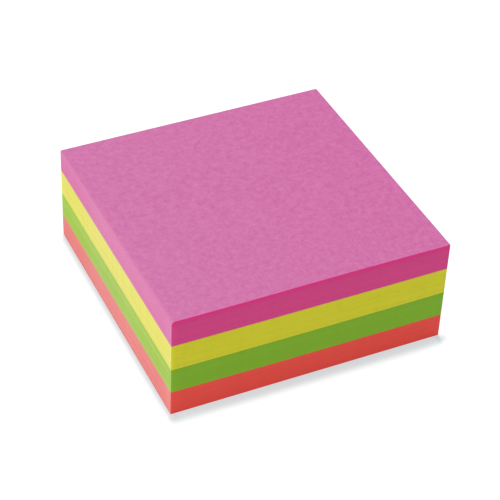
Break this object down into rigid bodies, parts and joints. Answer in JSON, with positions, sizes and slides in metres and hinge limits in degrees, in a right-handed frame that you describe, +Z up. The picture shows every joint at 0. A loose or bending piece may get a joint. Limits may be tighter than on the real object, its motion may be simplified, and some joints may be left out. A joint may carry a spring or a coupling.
{
  "type": "sticky note pad",
  "caption": "Low square cube of self-stick notes in blocks of pink, yellow, green and red neon paper, slightly thicker along the glued edge.",
  "frame": {"origin": "centre of the pad's underside, on the surface it lies on", "axes": "+Z up through the stack, towards the top sheet; -Y towards the glued edge of the sheets, +Y towards their free edge; +X to the right when the glued edge is nearest"},
  "size_m": [0.076, 0.076, 0.0309],
  "materials": {
    "red_paper": "matte",
    "green_paper": "matte",
    "yellow_paper": "matte",
    "pink_paper": "matte"
  },
  "bodies": {
    "root": {"red_sheets": "red_paper", "green_sheets": "green_paper", "yellow_sheets": "yellow_paper", "pink_sheets": "pink_paper"}
  },
  "joints": []
}
